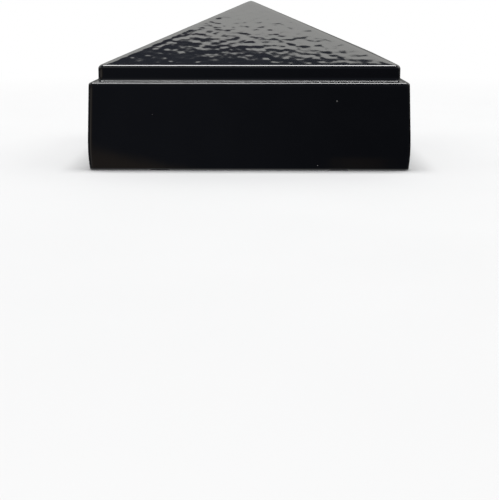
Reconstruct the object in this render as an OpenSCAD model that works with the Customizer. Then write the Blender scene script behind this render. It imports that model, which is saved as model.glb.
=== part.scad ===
// Cast pyramid cap for a square fence post.
// The origin is the centre of the rim plane, +Z points up to the apex and Y- is the front.
// Two socket set screws, one in the left side and one in the right, clamp the cap on the post.

/* [Post] */
// Width of the square post that the cap fits
post_w = 63.5; // [60:0.5:64]
// Gap between the post and each rib
post_gap = 0.25; // [0.1:0.05:0.6]

/* [Skirt] */
// Greatest width across the skirt
skirt_w = 75.14; // [74:0.1:80]
// Height of the skirt, from the rim to the ledge
skirt_h = 20.3; // [18:0.1:30]
// Height of the skirt's widest line above the rim
bulge_h = 5.2; // [3:0.1:7]
// Angle at which the skirt leans in above that line
draft = 2.2; // [1:0.1:3]
// Thickness of the skirt where it is widest
skirt_wall = 3.07; // [2.4:0.05:3.3]
// Thickness of the ledge
ledge_t = 2.55; // [2:0.05:4]

/* [Crown] */
// Width of the band above the ledge
band_w = 70.05; // [66:0.05:71]
// Height of the band
band_h = 3.65; // [2:0.05:6]
// Rise of the pyramid from the band's top edge to its apex
pyramid_h = 14.85; // [10:0.05:24]
// Thickness of the pyramid
crown_wall = 3; // [2.5:0.1:4]
// Half the width of the hollow under the crown
hollow_half = 28.5; // [26:0.1:29.5]

/* [Ribs] */
// Distance of each rib from the middle of its side
rib_offset = 20.9; // [14:0.1:24]
// Width of a rib
rib_w = 4.5; // [3:0.1:6]
// Depth of the sink mark that each rib leaves in the rim
sink_depth = 0.22; // [0.1:0.02:0.4]

/* [Gasket] */
// Thickness of the gasket that the post's end meets
gasket_t = 1.5; // [1:0.1:2.5]

/* [Set screws] */
// Height of the set screws above the rim
screw_z = 8.25; // [7:0.25:10]
// Nominal diameter of a set screw
screw_d = 5; // [4:1:6]
// Length of a set screw
screw_len = 4; // [3.5:0.1:4.2]
// Width across the flats of its hexagon socket
hex_flats = 2.5; // [2:0.1:2.6]
// Length of the nylon pad ahead of the screw
pad_t = 1.45; // [1:0.05:1.5]

/* [Hidden] */

skirt_half = skirt_w / 2;
low_bulge_r = 43;       // the skirt's outline below its widest line
high_bulge_r = 80;      // and above it
rim_edge_r = 0.5;
ledge_edge_r = 0.75;
corner_r = 0.9;         // all vertical corners
slice = 0.01;           // thickness of one outline of a hull
round_fn = 32;
bore_fn = 64;
cut = 1;                // how far a cut runs past the face that it opens

band_half = band_w / 2;
crown_r = 1;            // hips, apex and band edge
crown_root = 4;         // how far the band reaches down into the skirt
slope = atan(pyramid_h / band_half);
apex_z = skirt_h + band_h + pyramid_h;

socket_half = skirt_half - skirt_wall;
socket_corner_r = 1.5;
shoulder_z = skirt_h - ledge_t;
seat_z = shoulder_z - gasket_t;
hollow_apex_z = apex_z - crown_wall / cos(slope);

rib_face = post_w / 2 + post_gap;
rib_chamfer = 1;        // lead-in at a rib's foot
rib_root = 1;           // how far a rib or boss reaches into the wall

boss_r = screw_d / 2 + 2.5;
bore_r = screw_d / 2;
running_gap = 0.05;     // between the bore and what moves in it
screw_chamfer = 0.4;
hex_depth = 2;
pad_face = post_w / 2 + running_gap;
screw_tip = pad_face + pad_t + running_gap;
pad_chamfer = 0.25;

function arc(x, z, r, from, to, steps) =
    [for (i = [0:steps]) let (a = from + (to - from) * i / steps) [x + r * cos(a), z + r * sin(a)]];

// Half-width and height of the skirt's outline, from the rim up to the ledge
low_angle = asin((bulge_h - rim_edge_r) / low_bulge_r);
foot_half = skirt_half - low_bulge_r * (1 - cos(low_angle));
lean_half = skirt_half - high_bulge_r * (1 - cos(draft));
lean_z = bulge_h + high_bulge_r * sin(draft);
ledge_edge_z = skirt_h - ledge_edge_r;
ledge_edge_half = lean_half - (ledge_edge_z + ledge_edge_r * sin(draft) - lean_z) * tan(draft)
    - ledge_edge_r * cos(draft);
skirt_outline = concat(
    arc(foot_half - rim_edge_r, rim_edge_r, rim_edge_r, -90, 0, 5),
    arc(skirt_half - low_bulge_r, bulge_h, low_bulge_r, -low_angle, 0, 4),
    arc(skirt_half - high_bulge_r, bulge_h, high_bulge_r, 0, draft, 3),
    arc(ledge_edge_half, ledge_edge_z, ledge_edge_r, draft, 90, 6)
);

module at_corners(half) {
    for (x = [-half, half])
        for (y = [-half, half])
            translate([x, y, 0]) children();
}

module four_sides() {
    for (a = [0:90:270])
        rotate([0, 0, a]) children();
}

// A square prism on z = 0 with round corners
module round_prism(half, r, h) {
    at_corners(half - r) cylinder(r = r, h = h, $fn = bore_fn);
    translate([-half, -(half - r), 0]) cube([2 * half, 2 * (half - r), h]);
    translate([-(half - r), -half, 0]) cube([2 * (half - r), 2 * half, h]);
}

// The skirt's outer shape, one outline at each height
module skirt_body() {
    hull()
        for (p = skirt_outline)
            translate([0, 0, min(p[1], skirt_h - slice)])
                at_corners(p[0] - corner_r) cylinder(r = corner_r, h = slice, $fn = round_fn);
}

// The band and the pyramid: round hips between four flat faces
module crown_body() {
    inset = band_half - crown_r;
    apex_ball_z = apex_z - crown_r / cos(slope);
    hull() {
        translate([0, 0, apex_ball_z]) sphere(r = crown_r, $fn = round_fn);
        translate([0, 0, apex_ball_z - inset * tan(slope)])
            at_corners(inset) sphere(r = crown_r, $fn = round_fn);
        translate([0, 0, skirt_h - crown_root])
            at_corners(inset) cylinder(r = crown_r, h = slice, $fn = round_fn);
    }
}

// One gable of the hollow under the crown, along Y
module hollow_gable() {
    eaves_z = hollow_apex_z - hollow_half * tan(slope);
    rotate([90, 0, 0])
        linear_extrude(height = 2 * hollow_half, center = true)
            polygon([
                [-hollow_half, seat_z], [hollow_half, seat_z],
                [hollow_half, eaves_z], [0, hollow_apex_z], [-hollow_half, eaves_z]
            ]);
}

module crown_hollow() {
    intersection() {
        hollow_gable();
        rotate([0, 0, 90]) hollow_gable();
    }
}

// A rib on the +X side, from the rim to the shoulder, with a lead-in at its foot
module rib() {
    translate([0, rib_w / 2, 0])
        rotate([90, 0, 0])
            linear_extrude(height = rib_w)
                polygon([
                    [socket_half + rib_root, rim_edge_r], [rib_face + rib_chamfer, rim_edge_r],
                    [rib_face, rim_edge_r + 2 * rib_chamfer], [rib_face, shoulder_z + rib_root],
                    [socket_half + rib_root, shoulder_z + rib_root]
                ]);
}

module sink_mark() {
    translate([socket_half - rib_root, -rib_w / 2, -cut])
        cube([skirt_half, rib_w, sink_depth + cut]);
}

module screw_boss() {
    translate([rib_face, 0, screw_z])
        rotate([0, 90, 0])
            cylinder(r = boss_r, h = socket_half + rib_root - rib_face, $fn = bore_fn);
}

module screw_bore() {
    translate([rib_face - cut, 0, screw_z])
        rotate([0, 90, 0])
            cylinder(r = bore_r, h = skirt_half - rib_face + 2 * cut, $fn = bore_fn);
}

module cap_casting() {
    color("#141517")
        difference() {
            union() {
                difference() {
                    union() {
                        skirt_body();
                        crown_body();
                    }
                    translate([0, 0, -cut])
                        round_prism(socket_half, socket_corner_r, shoulder_z + cut);
                    crown_hollow();
                }
                four_sides()
                    for (y = [-rib_offset, rib_offset])
                        translate([0, y, 0]) rib();
                for (a = [0, 180])
                    rotate([0, 0, a]) screw_boss();
            }
            four_sides()
                for (y = [-rib_offset, rib_offset])
                    translate([0, y, 0]) sink_mark();
            for (a = [0, 180])
                rotate([0, 0, a]) screw_bore();
        }
}

// Foam ring glued under the shoulder, between the ribs
module seat_gasket() {
    color("#2b2c2e")
        translate([0, 0, seat_z])
            difference() {
                round_prism(post_w / 2, socket_corner_r, gasket_t);
                translate([-hollow_half, -hollow_half, -cut])
                    cube([2 * hollow_half, 2 * hollow_half, gasket_t + 2 * cut]);
            }
}

// A set screw for the +X side, its tip towards the post
module set_screw() {
    r = bore_r - running_gap;
    translate([screw_tip, 0, screw_z])
        rotate([0, 90, 0])
            difference() {
                union() {
                    cylinder(r1 = r - screw_chamfer, r2 = r, h = screw_chamfer, $fn = bore_fn);
                    translate([0, 0, screw_chamfer])
                        cylinder(r = r, h = screw_len - 2 * screw_chamfer, $fn = bore_fn);
                    translate([0, 0, screw_len - screw_chamfer])
                        cylinder(r1 = r, r2 = r - screw_chamfer, h = screw_chamfer, $fn = bore_fn);
                }
                translate([0, 0, screw_len - hex_depth])
                    cylinder(r = hex_flats / sqrt(3), h = hex_depth + cut, $fn = 6);
            }
}

module set_screw_left() {
    color("#2a2a2c") rotate([0, 0, 180]) set_screw();
}

module set_screw_right() {
    color("#2a2a2c") set_screw();
}

// A nylon pad for the +X side, which the screw pushes against the post
module pressure_pad() {
    r = bore_r - running_gap;
    translate([pad_face, 0, screw_z])
        rotate([0, 90, 0]) {
            cylinder(r1 = r - pad_chamfer, r2 = r, h = pad_chamfer, $fn = bore_fn);
            translate([0, 0, pad_chamfer])
                cylinder(r = r, h = pad_t - pad_chamfer, $fn = bore_fn);
        }
}

module pressure_pad_left() {
    color("#e8e4d8") rotate([0, 0, 180]) pressure_pad();
}

module pressure_pad_right() {
    color("#e8e4d8") pressure_pad();
}

cap_casting();
seat_gasket();
set_screw_left();
set_screw_right();
pressure_pad_left();
pressure_pad_right();
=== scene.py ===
"""Looks for the cast pyramid post cap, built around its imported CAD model. Metres, +Z up, -Y the front."""
import math

import bmesh
import bpy
import numpy as np
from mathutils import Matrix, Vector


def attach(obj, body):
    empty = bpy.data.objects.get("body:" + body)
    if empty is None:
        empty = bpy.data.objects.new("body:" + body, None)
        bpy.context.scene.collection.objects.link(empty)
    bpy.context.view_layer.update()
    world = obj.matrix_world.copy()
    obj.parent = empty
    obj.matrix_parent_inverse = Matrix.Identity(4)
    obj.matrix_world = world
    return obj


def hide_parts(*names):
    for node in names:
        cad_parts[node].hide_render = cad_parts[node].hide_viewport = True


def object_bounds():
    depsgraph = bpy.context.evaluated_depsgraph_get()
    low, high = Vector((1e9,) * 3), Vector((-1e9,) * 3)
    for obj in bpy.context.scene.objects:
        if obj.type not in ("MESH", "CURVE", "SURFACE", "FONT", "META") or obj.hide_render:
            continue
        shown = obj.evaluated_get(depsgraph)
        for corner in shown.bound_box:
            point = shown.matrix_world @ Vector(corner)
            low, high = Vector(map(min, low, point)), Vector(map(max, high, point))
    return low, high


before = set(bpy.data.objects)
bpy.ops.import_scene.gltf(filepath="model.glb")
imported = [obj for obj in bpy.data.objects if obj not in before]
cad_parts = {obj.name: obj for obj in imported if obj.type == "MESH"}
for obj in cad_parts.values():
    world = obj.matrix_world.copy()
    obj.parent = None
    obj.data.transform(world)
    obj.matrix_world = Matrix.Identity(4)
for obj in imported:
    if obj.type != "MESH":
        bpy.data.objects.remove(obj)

CAD_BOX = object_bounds()
MM = 0.001
QUARTER = math.pi / 2
SEED = 7
TINY = 1e-9              # keeps a division from being by 0

# ---- Sizes of the cap, in millimetres, as in the CAD ----
SKIRT_HALF = (CAD_BOX[1][0] - CAD_BOX[0][0]) / 2 / MM
POST_HALF = 63.5 / 2
BAND_HALF = 70.05 / 2
LEDGE_Z = 20.3
BAND_TOP_Z = LEDGE_Z + 3.65
PYRAMID_RISE = 14.85
APEX_Z = BAND_TOP_Z + PYRAMID_RISE
SLOPE = math.atan(PYRAMID_RISE / BAND_HALF)
CROWN_R = 1.0            # hips, apex and the band's top edge
CORNER_R = 0.9           # vertical corners
RIM_EDGE_R = 0.5
BULGE_Z = 5.2            # height of the skirt's widest line
LOW_BULGE_R = 43.0       # the skirt's outline below that line
HIGH_BULGE_R = 80.0      # and above it
DRAFT = math.radians(2.2)
SOCKET_HALF = SKIRT_HALF - 3.07
SOCKET_CORNER_R = 1.5
SHOULDER_Z = LEDGE_Z - 2.55
GASKET_T = 1.5
HOLLOW_HALF = 28.5
CROWN_WALL = 3.0
RIB_FACE = POST_HALF + 0.25
RIB_OFFSET = 20.9
RIB_HALF = 2.25
SINK_DEPTH = 0.22
SCREW_Z = 8.25
BORE_R = 2.5
BOSS_R = 5.0
RUNNING_GAP = 0.05       # between the bore and what moves in it
SCREW_R = BORE_R - RUNNING_GAP
PAD_FACE = POST_HALF + RUNNING_GAP
PAD_T = 1.45
SCREW_TIP = PAD_FACE + PAD_T + RUNNING_GAP
SCREW_LEN = 4.0
HEX_FLATS = 2.5
PITCH = 0.8              # of the M5 thread, which the CAD has as the joints' coupling only

# ---- Finer shapes that only the looks have, in millimetres ----
HIP_REACH = 1.5          # how far the soft turn of a hip reaches into each face
HIP_SOFTNESS = 2.0       # 1 is a round hip; above that, most of the turn is near the hip's line
APEX_R = 0.35            # how round the point is
FOOT_FILLET_R = 0.9      # where the band meets the ledge
FOOT_CORNER_R = 1.4      # largest plan corner on the fillet and the ledge
LEDGE_EDGE_R = 0.62      # a little crisper than in the CAD
LIP_R = 0.4              # inner edges of the rim and the shoulder
ROOT_R = 0.5             # where the socket's wall meets the shoulder
ROOF_R = 1.5             # where the hollow's wall meets its roof, and the roof's peak
HOLLOW_CORNER_R = 1.0
RIB_SOFT = 0.2           # half the width of a rib's sloping sides
RIB_FOOT_H = 0.3         # height of the step at a rib's foot
RIB_FOOT_SHARE = 0.6     # how much of a rib's depth that step has
RIB_LEAD_IN = 2.0        # height over which the rest of the depth comes in
SINK_SOFT = 0.25         # half the width of a sink mark's sloping sides
BORE_FACE = SKIRT_HALF - 0.06    # the skirt's face at the height of the screws
BORE_LEAD = 0.35         # chamfer of a bore towards the post
BORE_SINK = 0.3          # and in the skirt's face
OVERRUN = 1.0            # how far a boss or bore runs on past the face that it meets

# ---- Texture of the casting: heights and wavelengths, in millimetres ----
PEEL_HEIGHT, PEEL_WAVE = 0.0024, 2.6     # orange peel of the coat
SWAY_HEIGHT, SWAY_WAVE = 0.0015, 11      # slow unevenness under it
GRIT_HEIGHT, GRIT_WAVE = 0.035, 2.6      # cast skin inside
LUMP_HEIGHT, LUMP_WAVE = 0.03, 7         # slow unevenness of that skin
FLAT_PEEL = 0.3          # share of the orange peel that the skirt and the band have
INSET = 0.012            # keeps the bumps of the skirt and the band inside the CAD box
PEEL_BELOW = 0.2         # the full orange peel comes in from this far below the band's top line
PEEL_FADE = 0.8          # and over this height
RIM_FADE = 0.6           # height over which the texture comes in above the flat rim
RIDGE_HEIGHT = 0.0105    # ridge that the coat leaves beside a hip
RIDGE_AT, RIDGE_WIDTH = 1.15, 0.85       # its distance from the hip's line
RIDGE_START = (6, 16)    # distances from the axis between which the ridge comes in
RIDGE_SIDE = (-6, 6)     # and the same from right to left

# ---- How finely the casting is meshed ----
EDGE_COLS = 7            # narrow columns beside each vertical corner
EDGE_COL = 0.27
WIDE_COLS = 61
HALF_COLS = WIDE_COLS + EDGE_COLS
# The grid's columns, from 0 in the middle of a side to 1 at its corner
COLUMNS = np.concatenate(
    [
        np.linspace(0, BAND_HALF - EDGE_COLS * EDGE_COL, WIDE_COLS + 1),
        BAND_HALF - EDGE_COL * np.arange(EDGE_COLS - 1, -1, -1),
    ]
) / BAND_HALF
SLIVER = 0.004           # vertices that are closer than this are joined after the cuts, in millimetres


# ---- Helpers for numbers ----
def unit_ramp(value, low, high):
    """0 below low and 1 above high, smooth between them."""
    share = np.clip((value - low) / (high - low), 0, 1)
    return share * share * (3 - 2 * share)


def lattice_noise(points, wavelength, seed):
    """Smooth noise of about unit size at points (N x 3): a seeded random lattice under cubic B-splines."""
    size = 64
    spread = 0.33
    rng = np.random.default_rng(seed)
    lattice = rng.standard_normal((size, size, size)).astype(np.float32)
    p = points / wavelength * 2
    cell = np.floor(p).astype(int)
    f = p - cell
    weights = [
        (1 - f) ** 3 / 6,
        (3 * f**3 - 6 * f**2 + 4) / 6,
        (-3 * f**3 + 3 * f**2 + 3 * f + 1) / 6,
        f**3 / 6,
    ]
    total = np.zeros(len(points))
    for i in range(4):
        for j in range(4):
            for k in range(4):
                at = lattice[
                    (cell[:, 0] + i) % size, (cell[:, 1] + j) % size, (cell[:, 2] + k) % size
                ]
                total += weights[i][:, 0] * weights[j][:, 1] * weights[k][:, 2] * at
    return total / spread


def reach_of(p):
    """How far points are from the cap's axis, along X or Y, whichever is more."""
    return np.max(np.abs(p[:, :2]), axis=1)


def from_screw_axis(p):
    """How far points in mm are from the common axis of the screws."""
    return np.hypot(p[:, 1], p[:, 2] - SCREW_Z)


# ---- Outlines: rows of (half-width, height) ----
def arc(x, z, r, start, end, steps):
    """Points on an arc about (x, z). Angles are in radians, from outwards towards up."""
    return [
        (x + r * math.cos(a), z + r * math.sin(a)) for a in np.linspace(start, end, steps + 1)
    ]


def straight(a, b, steps):
    """The points between a and b, without a and b themselves."""
    return [
        (a[0] + (b[0] - a[0]) * i / steps, a[1] + (b[1] - a[1]) * i / steps)
        for i in range(1, steps)
    ]


def joined(*stretches):
    """Stretches of an outline end to end. Each comes with the number of straight steps that lead to it."""
    rows = list(stretches[0][0])
    for points, steps in stretches[1:]:
        rows += straight(rows[-1], points[0], steps) + list(points)
    return rows


def outside_rows():
    """From the pyramid's lower boundary to the rim's outer edge.

    Each row is (half-width, height, corner radius, softness)."""
    ball = BAND_HALF - CROWN_R
    ball_z = APEX_Z - CROWN_R / math.cos(SLOPE) - ball * math.tan(SLOPE)
    low = math.asin((BULGE_Z - RIM_EDGE_R) / LOW_BULGE_R)
    foot = SKIRT_HALF - LOW_BULGE_R * (1 - math.cos(low))
    lean = SKIRT_HALF - HIGH_BULGE_R * (1 - math.cos(DRAFT))
    lean_z = BULGE_Z + HIGH_BULGE_R * math.sin(DRAFT)
    edge_z = LEDGE_Z - LEDGE_EDGE_R
    edge = (
        lean
        - (edge_z + LEDGE_EDGE_R * math.sin(DRAFT) - lean_z) * math.tan(DRAFT)
        - LEDGE_EDGE_R * math.cos(DRAFT)
    )
    fillet = (BAND_HALF + FOOT_FILLET_R, LEDGE_Z + FOOT_FILLET_R, FOOT_FILLET_R)
    outline = joined(
        (arc(ball, ball_z, CROWN_R, QUARTER - SLOPE, 0, 6), 0),
        (arc(*fillet, 2 * QUARTER, 3 * QUARTER, 4), 4),
        (arc(edge, edge_z, LEDGE_EDGE_R, QUARTER, DRAFT, 6), 3),
        (arc(SKIRT_HALF - HIGH_BULGE_R, BULGE_Z, HIGH_BULGE_R, DRAFT, 0, 4), 12),
        (arc(SKIRT_HALF - LOW_BULGE_R, BULGE_Z, LOW_BULGE_R, 0, -low, 6)[1:], 1),
        (arc(foot - RIM_EDGE_R, RIM_EDGE_R, RIM_EDGE_R, 0, -QUARTER, 5)[1:], 1),
    )
    slack = 0.01
    rows = []
    for half, z in outline:
        on_crown = min(max((z - ball_z) / CROWN_R, 0), 1)
        past_band = max(half - BAND_HALF, 0)
        if on_crown > 0:
            corner_r = CROWN_R + (HIP_REACH - CROWN_R) * on_crown
        elif z > LEDGE_Z - slack:
            corner_r = min(CROWN_R + past_band, FOOT_CORNER_R)
        else:
            corner_r = CORNER_R
        rows.append((half, z, corner_r, 1 + (HIP_SOFTNESS - 1) * on_crown))
    return rows


def inside_rows():
    """From the rim's inner edge up the socket, across the shoulder and up to the hollow's roof.

    Each row is (half-width, height, corner radius, softness, share of a rib's depth that it takes)."""
    roof = APEX_Z - CROWN_WALL / math.cos(SLOPE)
    roof_half = HOLLOW_HALF - ROOF_R
    roof_z = roof - math.tan(SLOPE) * roof_half - ROOF_R / math.cos(SLOPE)
    outline = joined(
        (arc(SOCKET_HALF + LIP_R, LIP_R, LIP_R, -QUARTER, -2 * QUARTER, 3), 0),
        (arc(SOCKET_HALF - ROOT_R, SHOULDER_Z - ROOT_R, ROOT_R, 0, QUARTER, 4), 18),
        (arc(HOLLOW_HALF + LIP_R, SHOULDER_Z + LIP_R, LIP_R, 3 * QUARTER, 2 * QUARTER, 3), 5),
        (arc(roof_half, roof_z, ROOF_R, 0, QUARTER - SLOPE, 4), 5),
    )
    near_wall = 0.8
    rows = []
    for half, z in outline:
        shelf = (half - HOLLOW_HALF) / (SOCKET_HALF - HOLLOW_HALF)
        corner_r = SOCKET_CORNER_R if shelf > near_wall else HOLLOW_CORNER_R
        rows.append((half, z, corner_r, 1, min(max(shelf, 0), 1)))
    return rows


def rib_depth(along, z):
    """How far a rib stands out of the socket's wall at a place along a side and a height."""
    from_middle = np.abs(np.abs(along) - RIB_OFFSET)
    across = np.clip((RIB_HALF + RIB_SOFT - from_middle) / (2 * RIB_SOFT), 0, 1)
    lead_in = np.clip((z - RIM_EDGE_R) / RIB_LEAD_IN, 0, 1)
    step = np.clip((z - RIM_EDGE_R) / RIB_FOOT_H, 0, 1)
    full = SOCKET_HALF - RIB_FACE
    upright = RIB_FOOT_SHARE + (1 - RIB_FOOT_SHARE) * lead_in
    return full * across**2 * (3 - 2 * across) * step * upright


def sink_depth(along):
    """How deep the rim's sink marks are at a place along a side."""
    from_middle = np.abs(along - RIB_OFFSET)
    return np.clip((RIB_HALF + SINK_SOFT - from_middle) / (2 * SINK_SOFT), 0, 1) * SINK_DEPTH


# ---- Square loops with round corners, on one grid of columns ----
def corner_curve(share, softness):
    """How far a corner runs on and how far it has turned in, at each share of half a corner.

    The direction turns by 45 degrees times share to the power of softness. The lengths are for a
    corner that reaches 1 along each side."""
    n = 200
    turn = math.pi / 4 * ((np.arange(n) + 0.5) / n) ** softness
    at = np.arange(n + 1) / n
    run = np.interp(share, at, np.concatenate([[0], np.cumsum(np.cos(turn)) / n]))
    fall = np.interp(share, at, np.concatenate([[0], np.cumsum(np.sin(turn)) / n]))
    full = np.sum(np.cos(turn) + np.sin(turn)) / n
    return run / full, fall / full


def plan(i, j, half, corner_r, softness=1):
    """Where grid points lie on a square loop with round corners. i and j count columns from the middle.

    It gives x, y and how far along its side each point is."""
    near_i, near_j = np.abs(i), np.abs(j)
    outer = COLUMNS[np.maximum(near_i, near_j)]
    along = COLUMNS[np.minimum(near_i, near_j)] / np.maximum(outer, TINY) * half
    over = np.clip(along - (half - corner_r), 0, None)
    run, fall = corner_curve(over / np.maximum(corner_r, TINY), softness)
    near = np.where(over > 0, half - corner_r + corner_r * run, along)
    far = half - corner_r * fall
    front = near_j >= near_i
    x = np.where(front, near, far) * np.sign(i)
    y = np.where(front, far, near) * np.sign(j)
    return x, y, along


def boundary():
    """Grid indices of the outermost square loop, anticlockwise seen from above."""
    n = HALF_COLS
    run = np.arange(-n, n)
    full = np.full(2 * n, n)
    i = np.concatenate([run, full, -run, -full])
    j = np.concatenate([-full, run, full, -run])
    return i, j


# ---- Meshes ----
class MeshParts:
    """Vertices and faces of one closed surface, added loop by loop, in millimetres."""

    def __init__(self):
        self.points, self.faces, self.count = [], [], 0

    def add(self, x, y, z):
        block = np.stack(np.broadcast_arrays(x, y, z), -1).reshape(-1, 3).astype(float)
        self.points.append(block)
        self.count += len(block)
        return np.arange(self.count - len(block), self.count)

    def band(self, upper, lower):
        """Quads between two closed loops of the same length, facing outwards when lower is below."""
        after_u, after_l = np.roll(upper, -1), np.roll(lower, -1)
        self.faces += np.stack([upper, lower, after_l, after_u], 1).tolist()

    def fan(self, loop, x, y, z):
        """Triangles from a closed loop to one point."""
        (tip,) = self.add(x, y, z)
        self.faces += [[int(a), int(b), int(tip)] for a, b in zip(loop, np.roll(loop, -1))]

    def object(self, name):
        mesh = bpy.data.meshes.new(name)
        mesh.from_pydata((np.concatenate(self.points) * MM).tolist(), [], self.faces)
        mesh.validate()
        obj = bpy.data.objects.new(name, mesh)
        bpy.context.collection.objects.link(obj)
        return obj


def rows_of(items, what):
    """One vector for each vertex or face of a mesh, as rows."""
    values = np.empty(len(items) * 3, np.float32)
    items.foreach_get(what, values)
    return values.reshape(-1, 3)


def coordinates(mesh):
    return rows_of(mesh.vertices, "co").astype(float)


def roughen(obj, depth_at):
    """Moves each vertex along its normal by depth_at(points in mm), in mm."""
    mesh = obj.data
    normals = rows_of(mesh.vertex_normals, "vector")
    co = coordinates(mesh)
    moved = co + normals * (depth_at(co / MM) * MM)[:, None]
    mesh.vertices.foreach_set("co", moved.astype(np.float32).ravel())
    mesh.update()


def lathe(name, outline, turns=64):
    """A solid of revolution about X, from (x, radius) rows that start and end on the axis, in mm."""
    parts = MeshParts()
    angle = np.arange(turns) * 2 * math.pi / turns
    loops = [
        parts.add(x, r * np.cos(angle), r * np.sin(angle) + SCREW_Z) for x, r in outline[1:-1]
    ]
    for a, b in zip(loops, loops[1:]):
        parts.band(b, a)
    parts.fan(loops[0][::-1], outline[0][0], 0, SCREW_Z)
    parts.fan(loops[-1], outline[-1][0], 0, SCREW_Z)
    return parts.object(name)


def mirrored(outline, side):
    """An outline for the +X side, moved to the side of the given sign."""
    return [(side * x, r) for x, r in (outline if side > 0 else outline[::-1])]


def boolean(obj, tool, operation):
    """Joins the tool to the object or cuts it out of the object, and takes the tool away."""
    step = obj.modifiers.new("step", "BOOLEAN")
    step.solver = "MANIFOLD"
    step.operation = operation
    step.object = tool
    bpy.context.view_layer.update()
    shaped = bpy.data.meshes.new_from_object(obj.evaluated_get(bpy.context.evaluated_depsgraph_get()))
    obj.modifiers.clear()
    obj.data = shaped
    bpy.data.objects.remove(tool)


def weld(obj, distance):
    """Joins vertices that are closer than distance in mm, which takes away the slivers a cut leaves."""
    mesh = bmesh.new()
    mesh.from_mesh(obj.data)
    bmesh.ops.remove_doubles(mesh, verts=mesh.verts, dist=distance * MM)
    bmesh.ops.dissolve_degenerate(mesh, dist=distance * MM, edges=mesh.edges)
    bmesh.ops.triangulate(mesh, faces=[face for face in mesh.faces if len(face.verts) > 4])
    mesh.to_mesh(obj.data)
    mesh.free()


def store(obj, name, values):
    """Keeps one number for each vertex, which materials read by name."""
    layer = obj.data.attributes.new(name, "FLOAT", "POINT")
    layer.data.foreach_set("value", np.asarray(values, np.float32))


def convexity(obj):
    """How sharply the surface turns away at each vertex, in 1/mm: above 0 on edges, below 0 in corners."""
    mesh = obj.data
    normals = rows_of(mesh.vertex_normals, "vector")
    co = coordinates(mesh) / MM
    ends = np.empty(len(mesh.edges) * 2, np.int32)
    mesh.edges.foreach_get("vertices", ends)
    a, b = ends[::2], ends[1::2]
    step = co[b] - co[a]
    shortest = 1e-4
    turn = np.sum((normals[b] - normals[a]) * step, 1) / np.maximum(np.sum(step * step, 1), shortest)
    total = np.bincount(a, turn, len(co)) + np.bincount(b, turn, len(co))
    return total / np.maximum(np.bincount(ends, minlength=len(co)), 1)


def finish_piece(obj, sharp_degrees=40):
    """Smooth shading with crisp edges above an angle."""
    obj.data.shade_smooth()
    obj.data.set_sharp_from_angle(angle=math.radians(sharp_degrees))


def assign(obj, materials, choice=None):
    """Gives obj its materials. choice holds the index of the material for each face."""
    obj.data.materials.clear()
    for mat in materials:
        obj.data.materials.append(mat)
    if choice is not None:
        obj.data.polygons.foreach_set("material_index", np.asarray(choice, np.int32))


# ---- The casting ----
def add_roof(parts, peak, half, corner_r, softness, peak_r, up):
    """A low pyramid on a grid, down to a loop of the given half-width. It gives the loop's vertices."""
    n = HALF_COLS
    i, j = np.meshgrid(np.arange(-n, n + 1), np.arange(-n, n + 1), indexing="ij")
    level = COLUMNS[np.maximum(np.abs(i), np.abs(j))] * half
    widest_corner = level * 0.8
    x, y, _ = plan(i, j, level, np.minimum(corner_r, widest_corner), softness)
    z = peak - math.tan(SLOPE) * (level + peak_r * np.exp(-level / peak_r))
    ids = parts.add(x, y, z).reshape(i.shape)
    a, b, c, d = ids[:-1, :-1], ids[1:, :-1], ids[1:, 1:], ids[:-1, 1:]
    quads = np.stack([a, b, c, d] if up else [a, d, c, b], -1).reshape(-1, 4)
    # The quads on the two diagonals are split along the hips.
    k = np.arange(2 * n)
    hip = np.zeros((2 * n, 2 * n), int)
    hip[k, k] = 1
    hip[k, 2 * n - 1 - k] = 2
    hip = hip.reshape(-1)
    parts.faces += quads[hip == 0].tolist()
    for kind, first in ((1, 0), (2, 1)):
        q = np.roll(quads[hip == kind], -first, axis=1)
        parts.faces += q[:, [0, 1, 2]].tolist() + q[:, [0, 2, 3]].tolist()
    bi, bj = boundary()
    return ids[bi + n, bj + n]


def casting_surface():
    """The whole skin of the casting but for its screw bosses and bores, as one closed mesh."""
    parts = MeshParts()
    outside, inside = outside_rows(), inside_rows()
    bi, bj = boundary()
    loop = add_roof(parts, APEX_Z, outside[0][0], HIP_REACH, HIP_SOFTNESS, APEX_R, up=True)
    rim = straight(outside[-1], inside[0], 4)
    rows = [(*row, 0) for row in outside[1:]] + [(*at, CORNER_R, 1, 0) for at in rim] + inside[:-1]
    for half, z, corner_r, softness, rib_share in rows:
        x, y, along = plan(bi, bj, half, corner_r, softness)
        depth = rib_share * rib_depth(along, z)
        front = np.abs(bj) >= np.abs(bi)
        x = x - np.where(front, 0, np.sign(bi) * depth)
        y = y - np.where(front, np.sign(bj) * depth, 0)
        lower = parts.add(x, y, np.maximum(z, sink_depth(along)))
        parts.band(loop, lower)
        loop = lower
    half, z, corner_r, softness, _ = inside[-1]
    roof = add_roof(parts, z + math.tan(SLOPE) * half, half, corner_r, softness, ROOF_R, up=False)
    parts.band(loop, roof)
    return parts.object("cap_skin")


def is_outside(p):
    """True for points in mm on the outer skin of the casting."""
    past_lip = SOCKET_HALF + LIP_R + 0.02
    under_skin = 1.2
    reach = reach_of(p)
    above_hollow = p[:, 2] > APEX_Z - under_skin - math.tan(SLOPE) * reach
    return (reach > past_lip) | above_hollow


def fat_edge(p):
    """A low ridge where the coat has drawn back from a hip, strongest on the left."""
    from_hip = np.abs(np.abs(p[:, 0]) - np.abs(p[:, 1])) / math.sqrt(2)
    ridge = np.exp(-(((from_hip - RIDGE_AT) / RIDGE_WIDTH) ** 2)) * unit_ramp(reach_of(p), *RIDGE_START)
    return RIDGE_HEIGHT * ridge * unit_ramp(-p[:, 0], *RIDGE_SIDE)


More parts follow.
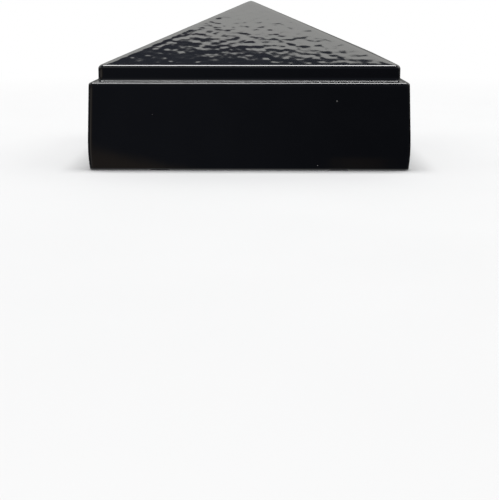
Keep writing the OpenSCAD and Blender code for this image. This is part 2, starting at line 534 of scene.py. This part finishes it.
def casting_texture(p):
    """Height of the cast and coated surface in mm: orange peel outside, coarser cast skin inside."""
    peel = PEEL_HEIGHT * lattice_noise(p, PEEL_WAVE, SEED)
    sway = SWAY_HEIGHT * lattice_noise(p, SWAY_WAVE, SEED + 2)
    grit = GRIT_HEIGHT * lattice_noise(p, GRIT_WAVE, SEED + 3)
    cast = grit + LUMP_HEIGHT * lattice_noise(p, LUMP_WAVE, SEED + 4)
    on_pyramid = np.clip((p[:, 2] - BAND_TOP_Z + PEEL_BELOW) / PEEL_FADE, 0, 1)
    above_rim = np.clip(p[:, 2] / RIM_FADE, 0, 1)
    coat = peel * (FLAT_PEEL + (1 - FLAT_PEEL) * on_pyramid) + sway
    coat = coat + on_pyramid * fat_edge(p) - INSET * (1 - on_pyramid)
    return np.where(is_outside(p), coat, cast) * above_rim


def boss_outline():
    """A screw boss on the +X side, from its face to inside the wall."""
    edge, root = 0.4, 0.5
    wall = SOCKET_HALF + OVERRUN
    return [
        (RIB_FACE, 0), (RIB_FACE, BOSS_R - edge), (RIB_FACE + 0.3 * edge, BOSS_R - 0.3 * edge),
        (RIB_FACE + edge, BOSS_R), (SOCKET_HALF - root, BOSS_R + 0.2 * root),
        (SOCKET_HALF - 0.2 * root, BOSS_R + 0.9 * root), (wall, BOSS_R + root), (wall, 0),
    ]


def bore_outline():
    """A screw bore on the +X side, chamfered at both ends."""
    start, end = RIB_FACE - OVERRUN, BORE_FACE + OVERRUN
    return [
        (start, 0), (start, BORE_R + BORE_LEAD), (RIB_FACE, BORE_R + BORE_LEAD),
        (RIB_FACE + BORE_LEAD, BORE_R), (BORE_FACE - BORE_SINK, BORE_R),
        (BORE_FACE, BORE_R + BORE_SINK), (end, BORE_R + BORE_SINK + OVERRUN), (end, 0),
    ]


def make_casting():
    cap = casting_surface()
    roughen(cap, casting_texture)
    for side in (-1, 1):
        boolean(cap, lathe("boss", mirrored(boss_outline(), side)), "UNION")
        boolean(cap, lathe("bore", mirrored(bore_outline(), side), turns=96), "DIFFERENCE")
    weld(cap, SLIVER)
    cap.name = "cast_cap"
    return cap


def casting_faces(mesh):
    """For each face: 0 on the outer skin, 1 inside and 2 where a drill has cut."""
    flattest, slack_r, slack_x = 0.9, 0.01, 0.05
    centre = rows_of(mesh.polygons, "center") / MM
    around_axis = np.abs(rows_of(mesh.polygons, "normal")[:, 0]) < flattest
    near_axis = from_screw_axis(centre) < BORE_R + BORE_LEAD + slack_r
    drilled = around_axis & near_axis & (np.abs(centre[:, 0]) > RIB_FACE - slack_x)
    return np.where(drilled, 2, np.where(is_outside(centre), 0, 1))


# ---- Screws, pads and gasket ----
def screw_mesh(side):
    """A socket set screw with a right-hand thread. Its tip faces the post."""
    turns, thread_rows = 72, 70
    thread_depth = 0.6 * PITCH
    crest_half, flank = 0.07, 0.33      # shares of the pitch
    chamfer, chamfer_slope, nip = 0.55, 1.1, 0.06
    flat_tip, tip_dish, tip_shares = 1.55, 0.02, (0.35, 0.7, 0.95)
    end_edge, mouth, mouth_share = 0.05, 0.12, 1.16
    socket_rows = (mouth, 0.7, 1.3, 1.9, 2.0)
    cone_top, cone_share = 2.15, 0.78   # below the hexagon, where a drill went in first
    cone_low, cone_low_r, cone_tip = 2.3, 0.5, 2.5
    parts = MeshParts()
    angle = np.arange(turns) * 2 * math.pi / turns
    tip, end = SCREW_TIP, SCREW_TIP + SCREW_LEN

    def ring(x, r):
        return parts.add(side * x, r * np.cos(angle), r * np.sin(angle) + SCREW_Z)

    def thread(x):
        phase = (side * x / PITCH - angle / (2 * math.pi)) % 1
        down = np.clip((np.abs(phase - 0.5) - crest_half) / flank, 0, 1)
        room = min(x - tip, end - x)
        return np.minimum(SCREW_R - thread_depth * down, SCREW_R - chamfer + room * chamfer_slope)

    def hexagon(share):
        corner = (angle % (math.pi / 3)) - math.pi / 6
        return (HEX_FLATS / 2 / np.cos(corner)) * share

    loops = [ring(tip, flat_tip * share) for share in tip_shares]
    loops += [ring(x, thread(x)) for x in np.linspace(tip + nip, end - nip, thread_rows)]
    loops += [ring(end, SCREW_R - chamfer - end_edge), ring(end, hexagon(mouth_share))]
    loops += [ring(end - depth, hexagon(1.0)) for depth in socket_rows]
    loops += [ring(end - cone_top, hexagon(cone_share)), ring(end - cone_low, cone_low_r)]
    if side < 0:
        loops = [np.roll(loop[::-1], 1) for loop in loops]
    for a, b in zip(loops, loops[1:]):
        parts.band(b, a)
    parts.fan(loops[0][::-1], side * (tip + tip_dish), 0, SCREW_Z)
    parts.fan(loops[-1], side * (end - cone_tip), 0, SCREW_Z)
    return parts.object("screw")


def make_screw(side, word):
    screw = screw_mesh(side)
    screw.name = f"grub_screw_{word}"
    rubbed_depth = 0.12
    reach = from_screw_axis(coordinates(screw.data) / MM)
    store(screw, "edge", unit_ramp(reach, SCREW_R - rubbed_depth, SCREW_R))
    finish_piece(screw, sharp_degrees=32)
    return screw


def make_pad(side, word):
    """A turned nylon disc between the screw's tip and the post, with a moulding dimple."""
    r, edge, middle_r = SCREW_R, 0.16, 0.5
    face, back = PAD_FACE, PAD_FACE + PAD_T
    # Rows of (depth below a flat side, distance in from the round one), then of (depth, radius)
    rim = [(0, 2.2 * edge), (0, edge), (0.3 * edge, 0.3 * edge), (edge, 0)]
    dimple = [(0, 0.75), (0.06, 0.7), (0.22, 0.55), (0.25, 0.35), (0.25, 0)]
    outline = [(face, 0), (face, middle_r)]
    outline += [(face + depth, r - inset) for depth, inset in rim]
    outline += [(face + PAD_T / 2, r)]
    outline += [(back - depth, r - inset) for depth, inset in rim[::-1]]
    outline += [(back - depth, radius) for depth, radius in dimple]
    pad = lathe("pad", mirrored(outline, side), turns=72)
    pad.name = f"nylon_pad_{word}"
    finish_piece(pad, sharp_degrees=50)
    return pad


def gasket_section():
    """Outline of the ring's section, from its outer lower edge inwards and round: (half-width, height)."""
    outer, inner = POST_HALF, HOLLOW_HALF
    top, low = SHOULDER_Z, SHOULDER_Z - GASKET_T
    r, nip = 0.28, 0.1
    return (
        arc(outer - r, low + r, r, 0, -QUARTER, 4)
        + straight((outer - r, low), (inner + r, low), 6)
        + arc(inner + r, low + r, r, -QUARTER, -2 * QUARTER, 4)
        + straight((inner, low + r), (inner, top - nip), 3)
        + [(inner, top - nip), (inner + nip, top)]
        + straight((inner + nip, top), (outer - nip, top), 3)
        + [(outer - nip, top), (outer, top - nip)]
        + straight((outer, top - nip), (outer, low + r), 3)
    )


def foam_texture(p):
    """Depth in mm of the pits and the slack of a foam surface, never above 0."""
    pit_wave, slack_wave, height, depth = 0.9, 5, 0.02, 0.04
    cells = lattice_noise(p, pit_wave, SEED + 6) * height + lattice_noise(p, slack_wave, SEED + 7) * height
    return np.minimum(cells - depth, 0)


def make_gasket():
    """A die-cut foam ring on the shoulder, a little slack, with open pores on its cut edges."""
    inner_corner_r = 1.2
    parts = MeshParts()
    bi, bj = boundary()
    loops = []
    for half, z in gasket_section():
        x, y, _ = plan(bi, bj, half, inner_corner_r + half - HOLLOW_HALF)
        loops.append(parts.add(x, y, z))
    for a, b in zip(loops, loops[1:] + loops[:1]):
        parts.band(a, b)
    gasket = parts.object("foam_gasket")
    roughen(gasket, foam_texture)
    reach = reach_of(coordinates(gasket.data) / MM)
    from_cut = np.minimum(np.abs(reach - POST_HALF), np.abs(reach - HOLLOW_HALF))
    store(gasket, "edge", 1 - unit_ramp(from_cut, 0.1, 0.35))
    finish_piece(gasket, sharp_degrees=60)
    return gasket


# ---- Colours: linear red, green, blue and alpha ----
COAT_DARK, COAT_LIGHT = (0.0015, 0.0018, 0.0024, 1), (0.0023, 0.0027, 0.0034, 1)
COAT_WORN = (0.006, 0.0063, 0.007, 1)
COAT_SPECK = (0.4, 0.39, 0.37, 1)
INNER_DARK, INNER_LIGHT = (0.009, 0.0095, 0.0105, 1), (0.017, 0.0175, 0.019, 1)
INNER_GRAIN = (0.032, 0.033, 0.036, 1)
INNER_WORN = (0.09, 0.09, 0.092, 1)
METAL_DARK, METAL_LIGHT = (0.42, 0.425, 0.43, 1), (0.66, 0.66, 0.665, 1)
OXIDE_DARK, OXIDE_LIGHT = (0.022, 0.022, 0.024, 1), (0.055, 0.054, 0.055, 1)
OXIDE_WORN = (0.26, 0.255, 0.25, 1)
NYLON_DARK, NYLON_LIGHT = (0.62, 0.60, 0.53, 1), (0.74, 0.725, 0.665, 1)
FOAM_DARK, FOAM_LIGHT = (0.017, 0.017, 0.018, 1), (0.030, 0.030, 0.031, 1)
# Painted shade: near black, inside the foam's open pores
FOAM_PORE_SHADE = (0.005, 0.005, 0.005, 1)
FLOOR_DARK, FLOOR_LIGHT = (0.44, 0.44, 0.44, 1), (0.46, 0.46, 0.46, 1)
WHITE = (1, 1, 1, 1)


# ---- Materials: wavelengths and depths are in millimetres ----
class Nodes:
    """Short forms for building a node tree. Inputs are numbers, colours or output sockets."""

    def __init__(self, tree):
        self.tree = tree

    def put(self, kind, inputs=(), **settings):
        node = self.tree.nodes.new(kind)
        for name, value in settings.items():
            setattr(node, name, value)
        for name, value in dict(inputs).items():
            self.join(value, node.inputs[name])
        return node

    def join(self, value, socket):
        if isinstance(value, bpy.types.NodeSocket):
            self.tree.links.new(value, socket)
        else:
            socket.default_value = value

    def math(self, operation, *values):
        node = self.put("ShaderNodeMath", operation=operation)
        for value, socket in zip(values, node.inputs):
            self.join(value, socket)
        return node.outputs[0]

    def product(self, *values):
        total = values[0]
        for value in values[1:]:
            total = self.math("MULTIPLY", total, value)
        return total

    def rest(self, value):
        """What is left up to 1."""
        return self.math("SUBTRACT", 1.0, value)

    def ramp(self, value, low, high, start=0.0, end=1.0):
        """start below low and end above high, smooth between them."""
        settings = {"Value": value, "From Min": low, "From Max": high, "To Min": start, "To Max": end}
        node = self.put("ShaderNodeMapRange", settings, interpolation_type="SMOOTHSTEP")
        return node.outputs[0]

    def blend(self, share, a, b):
        """Colour a where share is 0 and b where it is 1."""
        node = self.put("ShaderNodeMix", data_type="RGBA")
        for value, at in ((share, 0), (a, 6), (b, 7)):
            self.join(value, node.inputs[at])
        return node.outputs[2]

    def place(self, stretch=(1, 1, 1)):
        """Where a point is on the piece, in millimetres."""
        at = self.put("ShaderNodeTexCoord").outputs["Object"]
        scale = tuple(s / MM for s in stretch)
        return self.put("ShaderNodeMapping", {"Vector": at, "Scale": scale}).outputs[0]

    def noise(self, place, wavelength, detail=2.0, rough=0.5):
        inputs = {"Vector": place, "Scale": 1 / wavelength, "Detail": detail, "Roughness": rough}
        return self.put("ShaderNodeTexNoise", inputs).outputs[0]

    def cells(self, place, size):
        """Random cells, each with a colour and a distance from its centre."""
        inputs = {"Vector": place, "Scale": 1 / size, "Randomness": 1.0}
        return self.put("ShaderNodeTexVoronoi", inputs).outputs

    def stored(self, name):
        """A number that was kept for each vertex."""
        return self.put("ShaderNodeAttribute", attribute_name=name).outputs["Fac"]

    def rubbed(self, patches):
        """Where edges are rubbed: on outer edges, in patches from 0 to 1."""
        return self.math("MULTIPLY", self.stored("edge"), patches)

    def bump(self, height, depth):
        """A normal for a surface that is height (0 to 1) times depth mm high."""
        inputs = {"Height": height, "Distance": depth * MM, "Strength": 1.0}
        return self.put("ShaderNodeBump", inputs).outputs[0]


def new_material(name, **constants):
    """A material, its nodes and its Principled shader, with constants set on the shader itself."""
    mat = bpy.data.materials.new(name)
    mat.use_nodes = True
    shader = mat.node_tree.nodes["Principled BSDF"]
    for key, value in constants.items():
        shader.inputs[key.replace("_", " ")].default_value = value
    return mat, Nodes(mat.node_tree), shader


def finish_shader(nodes, shader, colour, roughness, normal):
    nodes.join(colour, shader.inputs["Base Color"])
    nodes.join(roughness, shader.inputs["Roughness"])
    nodes.join(normal, shader.inputs["Normal"])


def specks(nodes, place):
    """Tiny specks in a few of the cells of a random pattern, each of its own size."""
    cells = nodes.cells(place, 4.2)
    pick = nodes.put("ShaderNodeSeparateColor", {"Color": cells["Color"]}).outputs[0]
    empty_share = 0.62
    has_speck = nodes.math("GREATER_THAN", pick, empty_share)
    size = nodes.product(nodes.ramp(pick, empty_share, 1.0, 0.02, 0.05), has_speck)
    return nodes.ramp(nodes.math("SUBTRACT", size, cells["Distance"]), 0.0, 0.01)


def gloss_coat():
    """Gloss black powder coat: near mirror-like, a little duller on rubbed edges and in corners."""
    mat, nodes, shader = new_material("gloss_black_powder_coat", IOR=1.5)
    place = nodes.place()
    cloud = nodes.ramp(nodes.noise(place, 9.0, detail=4.0), 0.35, 0.65)
    rub = nodes.rubbed(nodes.ramp(nodes.noise(place, 1.7, detail=5.0, rough=0.6), 0.42, 0.66))
    worn = nodes.blend(rub, nodes.blend(cloud, COAT_DARK, COAT_LIGHT), COAT_WORN)
    speck = specks(nodes, place)
    haze = nodes.ramp(nodes.noise(place, 4.5, detail=3.0), 0.3, 0.7, 0.032, 0.055)
    rub_haze = nodes.math("ADD", haze, nodes.product(rub, 0.02))
    dull = nodes.math("ADD", nodes.product(speck, 0.5), nodes.product(nodes.stored("nook"), 0.22))
    height = nodes.put("ShaderNodeSeparateXYZ", {"Vector": place}).outputs[2]
    on_pyramid = nodes.ramp(height, BAND_TOP_Z - 0.3, BAND_TOP_Z + 0.4, 0.12, 1.0)
    peel = nodes.product(nodes.noise(place, 2.0, detail=0.4), on_pyramid)
    finish_shader(nodes, shader, nodes.blend(speck, worn, COAT_SPECK), nodes.math("ADD", rub_haze, dull),
                  nodes.bump(peel, 0.030))
    return mat


def inner_coat():
    """The same coat where it is thin and dry, inside the cap, over the cast skin."""
    mat, nodes, shader = new_material("thin_inner_coat", IOR=1.48)
    place = nodes.place()
    dust = nodes.noise(place, 0.6, detail=6.0, rough=0.65)
    cloud = nodes.ramp(nodes.noise(place, 6.0, detail=3.0), 0.35, 0.65)
    rub = nodes.rubbed(nodes.ramp(nodes.noise(place, 1.2, detail=5.0, rough=0.6), 0.5, 0.7))
    deep = nodes.blend(cloud, INNER_DARK, INNER_LIGHT)
    grainy = nodes.blend(nodes.ramp(dust, 0.55, 0.75), deep, INNER_GRAIN)
    finish_shader(nodes, shader, nodes.blend(rub, grainy, INNER_WORN),
                  nodes.ramp(dust, 0.3, 0.7, 0.26, 0.5), nodes.bump(dust, 0.03))
    return mat


def bare_metal():
    """Freshly drilled cast aluminium, with turning marks round the bore."""
    mat, nodes, shader = new_material("drilled_aluminium", Metallic=1.0)
    rings = nodes.noise(nodes.place((14, 0.6, 0.6)), 1.0)
    finish_shader(nodes, shader, nodes.blend(rings, METAL_DARK, METAL_LIGHT),
                  nodes.ramp(rings, 0.3, 0.7, 0.24, 0.42), nodes.bump(rings, 0.012))
    return mat


def black_oxide():
    """Blackened steel that is rubbed to grey on the thread crests."""
    mat, nodes, shader = new_material("black_oxide_steel", Metallic=1.0)
    place = nodes.place()
    grain = nodes.noise(place, 0.25, detail=5.0, rough=0.6)
    rub = nodes.rubbed(nodes.ramp(nodes.noise(place, 0.6, detail=3.0), 0.4, 0.62))
    dark = nodes.blend(grain, OXIDE_DARK, OXIDE_LIGHT)
    finish_shader(nodes, shader, nodes.blend(rub, dark, OXIDE_WORN),
                  nodes.ramp(grain, 0.3, 0.7, 0.3, 0.46), nodes.bump(grain, 0.006))
    return mat


def milky_nylon():
    """Natural nylon: milky and slightly waxy, with faint moulding flow marks."""
    mat, nodes, shader = new_material(
        "natural_nylon", IOR=1.53, Subsurface_Weight=0.25, Subsurface_Scale=0.6 * MM
    )
    flow = nodes.noise(nodes.place((1, 2.5, 1)), 1.4, detail=3.0)
    grain = nodes.noise(nodes.place(), 0.3, detail=3.0)
    finish_shader(nodes, shader, nodes.blend(flow, NYLON_DARK, NYLON_LIGHT),
                  nodes.ramp(grain, 0.3, 0.7, 0.34, 0.5), nodes.bump(grain, 0.006))
    return mat


def foam_rubber():
    """Black sponge rubber: a dull skin, with open pores where it was cut, painted near black inside as
    painted shade.
    """
    mat, nodes, shader = new_material("sponge_rubber", IOR=1.45)
    place = nodes.place()
    wall = nodes.ramp(nodes.cells(place, 0.42)["Distance"], 0.12, 0.5)
    # This mask paints shade into the open pores' colour and also sets the depth of their bump
    pore_and_shade = nodes.product(nodes.rest(wall), nodes.ramp(nodes.stored("edge"), 0.0, 1.0, 0.35, 1.0))
    tone = nodes.blend(nodes.noise(place, 2.2, detail=4.0), FOAM_DARK, FOAM_LIGHT)
    finish_shader(nodes, shader, nodes.blend(pore_and_shade, tone, FOAM_PORE_SHADE),
                  nodes.ramp(nodes.noise(place, 0.5, detail=3.0), 0.3, 0.7, 0.72, 0.92),
                  nodes.bump(nodes.rest(pore_and_shade), 0.06))
    return mat


def build_object():
    """Every piece of the object, each on its CAD body in place of its CAD node."""
    cap = make_casting()
    bend = convexity(cap)
    store(cap, "edge", unit_ramp(bend, 0.25, 0.75))
    store(cap, "nook", unit_ramp(-bend, 0.2, 0.8))
    assign(cap, [gloss_coat(), inner_coat(), bare_metal()], casting_faces(cap.data))
    finish_piece(cap)
    made = [(cap, "cap", "cap_casting", "powder_coated_casting")]
    oxide, nylon = black_oxide(), milky_nylon()
    for side, word in ((-1, "left"), (1, "right")):
        screw, pad = make_screw(side, word), make_pad(side, word)
        assign(screw, [oxide])
        assign(pad, [nylon])
        made.append((screw, f"screw_{word}", f"set_screw_{word}", "black_steel"))
        made.append((pad, f"pad_{word}", f"pressure_pad_{word}", "nylon"))
    gasket = make_gasket()
    assign(gasket, [foam_rubber()])
    made.append((gasket, "cap", "seat_gasket", "foam_rubber"))
    for piece, body, node, slot in made:
        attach(piece, body)
        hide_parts(node)


# ---- Light of the studio, by direction: x is to the right, y away from the camera and z up ----
# A pair in brackets says where a soft edge starts and where it ends.
CARD_LEAN, CARD_RISE = 0.229, 1.117     # the card's top edge: slopes against x and the distance across
CARD_TOP_EDGE = (-0.008, 0.008)
CARD_FRONT = (-0.38, -0.22)
CARD_FOOT = (-0.05, -0.03)
CARD_LIGHT, CARD_POWER = 3.1, 1.6       # how the card brightens with height
HORIZON_LIGHT = 0.15
ROOM_LIGHT, ROOM_HIGH = 0.15, (0.03, 0.2)
FRONT_LIGHT, BACK_LIGHT, BACK_TO_FRONT = 0.1, 0.006, (0.1, -0.4)
LEFT_SHARE, RIGHT_SHARE, LEFT_TO_RIGHT = 1.18, 0.76, (-0.12, 0.12)
GROUND_LIGHT = 0.8
GROUND_ALL = (-0.42, -0.75)             # far enough down, light comes from every side
GROUND_BACK, GROUND_BEHIND = (-0.2, -0.5), (-0.2, 0.1)     # and higher up from behind only
CEILING_LIGHT, CEILING_BARS = 1.1, 13.0
BARS_X, BARS_Y = 3.2, 6.0               # shifts of the bars, in radians
CEILING_BACK, CEILING_LOW = (0.25, 0.1), (0.5, 0.65)
WINDOW_LIGHT = 0.4
WINDOW_RIGHT, WINDOW_LEFT = (-0.28, -0.42), (-0.76, -0.6)
WINDOW_TOP, WINDOW_FOOT, WINDOW_BACK = (0.1, 0.0), (-0.45, -0.3), (-0.3, -0.6)
WARM_LIGHT, WARM_RIGHT_SHARE = 0.12, 0.4
WARM_FOOT, WARM_BACK = (-0.45, -0.36), (-0.3, -0.8)
WARM_LEFT_TOP, WARM_LEFT_SHIFT, WARM_LEFT_SLANT = (-0.11, -0.3), 0.13, 3.0
WARM_RIGHT_START, WARM_RIGHT_END, WARM_RIGHT_TOP = (0.05, 0.07), (0.12, 0.09), (-0.2, -0.27)
NEUTRAL_TINT, COOL_TINT = (1.0, 1.0, 0.97), (0.9, 0.97, 1.24)
WINDOW_TINT, WARM_TINT = (1.05, 1.0, 0.93), (1.3, 0.9, 0.42)


class Sky(Nodes):
    """The nodes of a world whose light depends on the direction (x, y, z)."""

    def __init__(self, tree):
        super().__init__(tree)
        toward = self.put("ShaderNodeTexCoord").outputs["Generated"]
        self.x, self.y, self.z = self.put("ShaderNodeSeparateXYZ", {"Vector": toward}).outputs

    def card(self):
        """Where the card behind the object is: 1 on it, 0 off it."""
        across = self.math(
            "SQRT", self.math("ADD", self.product(self.x, self.x), self.product(self.y, self.y))
        )
        top = self.math("ADD", self.product(self.x, CARD_LEAN), self.product(across, CARD_RISE))
        above = self.ramp(self.math("SUBTRACT", self.z, top), *CARD_TOP_EDGE)
        return self.product(self.rest(above), self.ramp(self.y, *CARD_FRONT), self.ramp(self.z, *CARD_FOOT))

    def card_light(self, card):
        height = self.math("POWER", self.math("MAXIMUM", self.z, 0.0), CARD_POWER)
        return self.product(card, self.math("ADD", HORIZON_LIGHT, self.product(height, CARD_LIGHT)))

    def room(self):
        """Dim light from all round: by direction near the horizon, even higher up."""
        front = self.ramp(self.y, *BACK_TO_FRONT, BACK_LIGHT, FRONT_LIGHT)
        side = self.ramp(self.x, *LEFT_TO_RIGHT, LEFT_SHARE, RIGHT_SHARE)
        high = self.ramp(self.z, *ROOM_HIGH)
        return self.math("ADD", self.product(front, side, self.rest(high)), self.product(high, ROOM_LIGHT))

    def ground(self):
        """Light from below, which reaches higher behind the object than in front of it."""
        below = self.product(self.ramp(self.z, *GROUND_ALL), GROUND_LIGHT)
        behind = self.product(
            self.ramp(self.z, *GROUND_BACK), self.ramp(self.y, *GROUND_BEHIND), GROUND_LIGHT
        )
        return self.math("MAXIMUM", below, behind)

    def stripes(self, value, shift):
        """Soft bars across one direction."""
        wave = self.math("SINE", self.math("MULTIPLY_ADD", value, CEILING_BARS, shift))
        return self.ramp(wave, -1.1, 1.0)

    def ceiling(self, off_card):
        """Soft patches of light overhead, in front of the card."""
        return self.product(
            self.stripes(self.x, BARS_X), self.stripes(self.y, BARS_Y),
            self.ramp(self.y, *CEILING_BACK), self.ramp(self.z, *CEILING_LOW), off_card, CEILING_LIGHT,
        )

    def window(self):
        """A soft window in front, low on the left."""
        return self.product(
            self.ramp(self.x, *WINDOW_RIGHT), self.ramp(self.x, *WINDOW_LEFT),
            self.ramp(self.y, *WINDOW_BACK), self.ramp(self.z, *WINDOW_TOP),
            self.ramp(self.z, *WINDOW_FOOT), WINDOW_LIGHT,
        )

    def warm_patches(self):
        """Two faint warm patches low in front, one on the left and one on the right."""
        shifted = self.math("ADD", self.x, WARM_LEFT_SHIFT)
        slant = self.math("ADD", self.z, self.product(shifted, WARM_LEFT_SLANT))
        left = self.product(
            self.ramp(slant, *WARM_LEFT_TOP), self.ramp(self.z, *WARM_FOOT), self.ramp(self.y, *WARM_BACK),
            WARM_LIGHT,
        )
        right = self.product(
            self.ramp(self.x, *WARM_RIGHT_START), self.ramp(self.x, *WARM_RIGHT_END),
            self.ramp(self.z, *WARM_RIGHT_TOP), self.ramp(self.z, *WARM_FOOT),
            self.ramp(self.y, *WARM_BACK), WARM_LIGHT * WARM_RIGHT_SHARE,
        )
        return self.math("ADD", left, right)

    def glow(self, light, tint):
        """A colour for light of the given tint."""
        return self.put("ShaderNodeVectorMath", {0: tint, 3: light}, operation="SCALE").outputs[0]

    def plus(self, a, b):
        return self.put("ShaderNodeVectorMath", {0: a, 1: b}, operation="ADD").outputs[0]


def studio_world():
    """Soft studio surroundings: a bright card behind the object, and a dim cool room all round."""
    world = bpy.data.worlds.new("studio")
    world.use_nodes = True
    bpy.context.scene.world = world
    sky = Sky(world.node_tree)
    card = sky.card()
    off_card = sky.rest(card)
    overhead = sky.math("ADD", sky.ceiling(off_card), sky.ground())
    plain = sky.math("ADD", sky.card_light(card), overhead)
    room = sky.product(off_card, sky.room())
    behind = sky.plus(sky.glow(plain, NEUTRAL_TINT), sky.glow(room, COOL_TINT))
    before = sky.plus(sky.glow(sky.window(), WINDOW_TINT), sky.glow(sky.warm_patches(), WARM_TINT))
    seen = sky.put("ShaderNodeLightPath").outputs["Is Camera Ray"]
    background = world.node_tree.nodes["Background"]
    sky.join(sky.blend(seen, sky.plus(behind, before), WHITE), background.inputs["Color"])


def overhead_light():
    """One wide soft box above the object, a little behind it."""
    light = bpy.data.lights.new("soft_box", "AREA")
    light.shape = "RECTANGLE"
    light.size, light.size_y = 0.6, 0.3
    light.energy = 13.0
    lamp = bpy.data.objects.new("soft_box", light)
    bpy.context.collection.objects.link(lamp)
    behind, above, tilt = 0.07, 0.9, math.radians(-5)
    lamp.location = (0, behind, above)
    lamp.rotation_euler = (tilt, 0, 0)


def floor_material():
    """Pale grey near the object, white to the camera far from it, and clear from below."""
    fade_start, fade_end = 60.0, 330.0
    mat, nodes, shader = new_material("pale_floor", Roughness=0.9)
    place = nodes.place()
    nodes.join(nodes.blend(nodes.noise(place, 40.0), FLOOR_DARK, FLOOR_LIGHT), shader.inputs["Base Color"])
    away = nodes.put("ShaderNodeVectorMath", {0: place}, operation="LENGTH").outputs["Value"]
    seen = nodes.put("ShaderNodeLightPath").outputs["Is Camera Ray"]
    far = nodes.product(nodes.ramp(away, fade_start, fade_end), seen)
    white = nodes.put("ShaderNodeEmission", {"Color": WHITE, "Strength": 1.0})
    fade = nodes.put("ShaderNodeMixShader", {0: far, 1: shader.outputs[0], 2: white.outputs[0]})
    clear = nodes.put("ShaderNodeBsdfTransparent")
    below = nodes.put("ShaderNodeNewGeometry").outputs["Backfacing"]
    both = nodes.put("ShaderNodeMixShader", {0: below, 1: fade.outputs[0], 2: clear.outputs[0]})
    nodes.join(both.outputs[0], mat.node_tree.nodes["Material Output"].inputs["Surface"])
    return mat


def pale_floor():
    """A large round floor, which reflections, bounced light and shadows leave out."""
    reach, sides = 2.4, 96
    mesh = bpy.data.meshes.new("floor")
    angles = np.arange(sides) * 2 * math.pi / sides
    ring = [(reach * math.cos(a), reach * math.sin(a), 0) for a in angles]
    mesh.from_pydata(ring, [], [list(range(sides))])
    floor = bpy.data.objects.new("floor", mesh)
    bpy.context.collection.objects.link(floor)
    floor.visible_glossy = floor.visible_diffuse = floor.visible_shadow = False
    assign(floor, [floor_material()])


def photo_camera():
    """The photograph's view: close in front, level with the cap's point, aimed below it."""
    data = bpy.data.cameras.new("camera")
    data.lens = 81.0
    data.clip_start = 0.01
    camera = bpy.data.objects.new("camera", data)
    bpy.context.collection.objects.link(camera)
    away, height, aside = 297.6 * MM, 38.7 * MM, 3.65 * MM
    pitch, turn = math.radians(12.5), math.radians(0.773)
    camera.location = (aside, -away, height)
    camera.rotation_euler = (QUARTER - pitch, 0, turn)
    bpy.context.scene.camera = camera


build_object()
studio_world()
overhead_light()
pale_floor()
photo_camera()
bpy.context.scene.view_settings.view_transform = "Standard"
